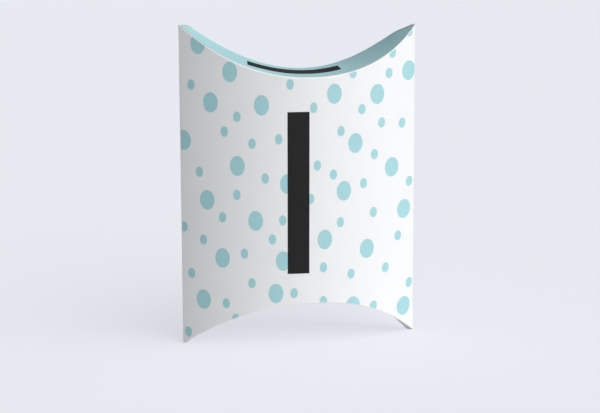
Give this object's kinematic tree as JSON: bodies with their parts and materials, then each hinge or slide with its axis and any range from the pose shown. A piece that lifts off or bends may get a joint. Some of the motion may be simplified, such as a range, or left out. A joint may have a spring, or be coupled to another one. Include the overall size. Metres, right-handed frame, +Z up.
{
  "type": "pillow box",
  "caption": "Upright pillow box of folded board: two bowed panels, curved flaps closing each end, white with aqua dots, an aqua top and a bare black label.",
  "frame": {"origin": "centre of the base rectangle, on the ground where the lower corners touch", "axes": "+Z up; -Y towards the front panel with the black label; +X to the right seen from the front, where the glued side seam is"},
  "size_m": [0.12, 0.0481, 0.16],
  "materials": {
    "white_board": "satin",
    "aqua_board": "satin",
    "black_print": "satin",
    "clear_glue": "matt"
  },
  "bodies": {
    "sleeve": {"front_panel": "white_board", "back_panel": "white_board", "side_glue_flap": "white_board", "glue_line": "clear_glue", "front_label": "black_print"},
    "top_outer": {"top_outer_flap": "aqua_board", "top_strip": "black_print"},
    "top_inner": {"top_inner_flap": "aqua_board"},
    "bottom_outer": {"bottom_outer_flap": "white_board"},
    "bottom_inner": {"bottom_inner_flap": "white_board"}
  },
  "joints": [
    {"name": "top_outer_fold", "type": "hinge", "parent": "sleeve", "child": "top_outer", "pos_m": [0, -0.024, 0.136], "axis": [1, 0, 0], "range_deg": [0, 90]},
    {"name": "top_inner_fold", "type": "hinge", "parent": "sleeve", "child": "top_inner", "pos_m": [0, 0.024, 0.136], "axis": [-1, 0, 0], "range_deg": [0, 45]},
    {"name": "bottom_outer_fold", "type": "hinge", "parent": "sleeve", "child": "bottom_outer", "pos_m": [0, -0.024, 0.024], "axis": [-1, 0, 0], "range_deg": [0, 90]},
    {"name": "bottom_inner_fold", "type": "hinge", "parent": "sleeve", "child": "bottom_inner", "pos_m": [0, 0.024, 0.024], "axis": [1, 0, 0], "range_deg": [0, 45]}
  ],
  "couplings": [
    {"joint": "top_inner_fold", "follows": "top_outer_fold", "ratio": 0.5},
    {"joint": "bottom_inner_fold", "follows": "bottom_outer_fold", "ratio": 0.5}
  ]
}
